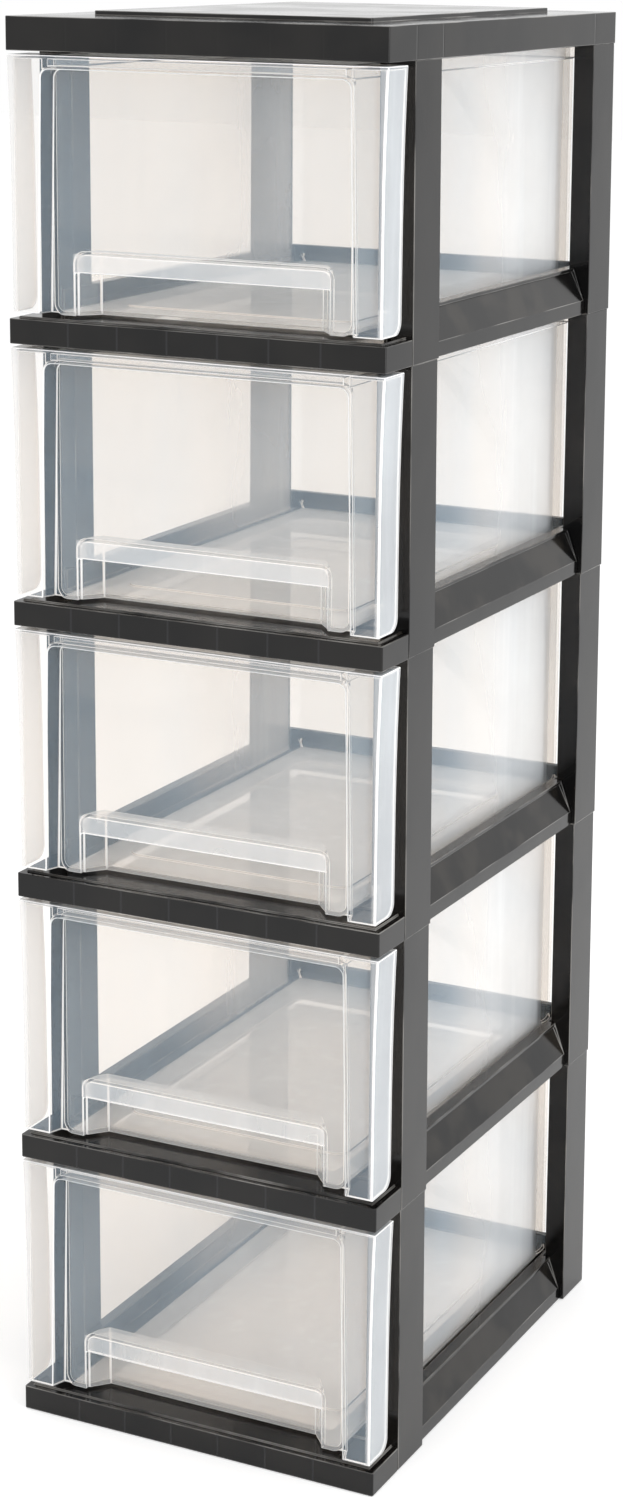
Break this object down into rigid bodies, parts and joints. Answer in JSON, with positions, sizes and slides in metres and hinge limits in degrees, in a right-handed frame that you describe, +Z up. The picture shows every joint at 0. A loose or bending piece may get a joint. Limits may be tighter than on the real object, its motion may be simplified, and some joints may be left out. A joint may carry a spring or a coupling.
{
  "type": "drawer tower",
  "caption": "Tall narrow tower of clear pull-out drawers in a black frame of shelf frames, corner posts and a raised top cover.",
  "frame": {"origin": "on the floor, at the middle of the footprint", "axes": "+Z up, +X to the right as seen from the front, drawers open towards -Y"},
  "size_m": [0.28, 0.381, 0.9954],
  "materials": {
    "black_plastic": "polished black moulding with faint sink lines over its ribs",
    "clear_plastic": "clear, slightly hazy moulding with bright edges"
  },
  "bodies": {
    "tower": {"top_cover": "black_plastic", "base_frame": "black_plastic", "shelf_2": "black_plastic", "shelf_3": "black_plastic", "shelf_4": "black_plastic", "shelf_5": "black_plastic", "front_left_post_1": "black_plastic", "front_left_post_2": "black_plastic", "front_left_post_3": "black_plastic", "front_left_post_4": "black_plastic", "front_left_post_5": "black_plastic", "front_right_post_1": "black_plastic", "front_right_post_2": "black_plastic", "front_right_post_3": "black_plastic", "front_right_post_4": "black_plastic", "front_right_post_5": "black_plastic", "rear_left_post_1": "black_plastic", "rear_left_post_2": "black_plastic", "rear_left_post_3": "black_plastic", "rear_left_post_4": "black_plastic", "rear_left_post_5": "black_plastic", "rear_right_post_1": "black_plastic", "rear_right_post_2": "black_plastic", "rear_right_post_3": "black_plastic", "rear_right_post_4": "black_plastic", "rear_right_post_5": "black_plastic"},
    "drawer_1": {"drawer_1": "clear_plastic"},
    "drawer_2": {"drawer_2": "clear_plastic"},
    "drawer_3": {"drawer_3": "clear_plastic"},
    "drawer_4": {"drawer_4": "clear_plastic"},
    "drawer_5": {"drawer_5": "clear_plastic"}
  },
  "joints": [
    {"name": "drawer_1_slide", "type": "slide", "parent": "tower", "child": "drawer_1", "axis": [0, -1, 0], "range_m": [0, 0.26]},
    {"name": "drawer_2_slide", "type": "slide", "parent": "tower", "child": "drawer_2", "axis": [0, -1, 0], "range_m": [0, 0.26]},
    {"name": "drawer_3_slide", "type": "slide", "parent": "tower", "child": "drawer_3", "axis": [0, -1, 0], "range_m": [0, 0.26]},
    {"name": "drawer_4_slide", "type": "slide", "parent": "tower", "child": "drawer_4", "axis": [0, -1, 0], "range_m": [0, 0.26]},
    {"name": "drawer_5_slide", "type": "slide", "parent": "tower", "child": "drawer_5", "axis": [0, -1, 0], "range_m": [0, 0.26]}
  ]
}
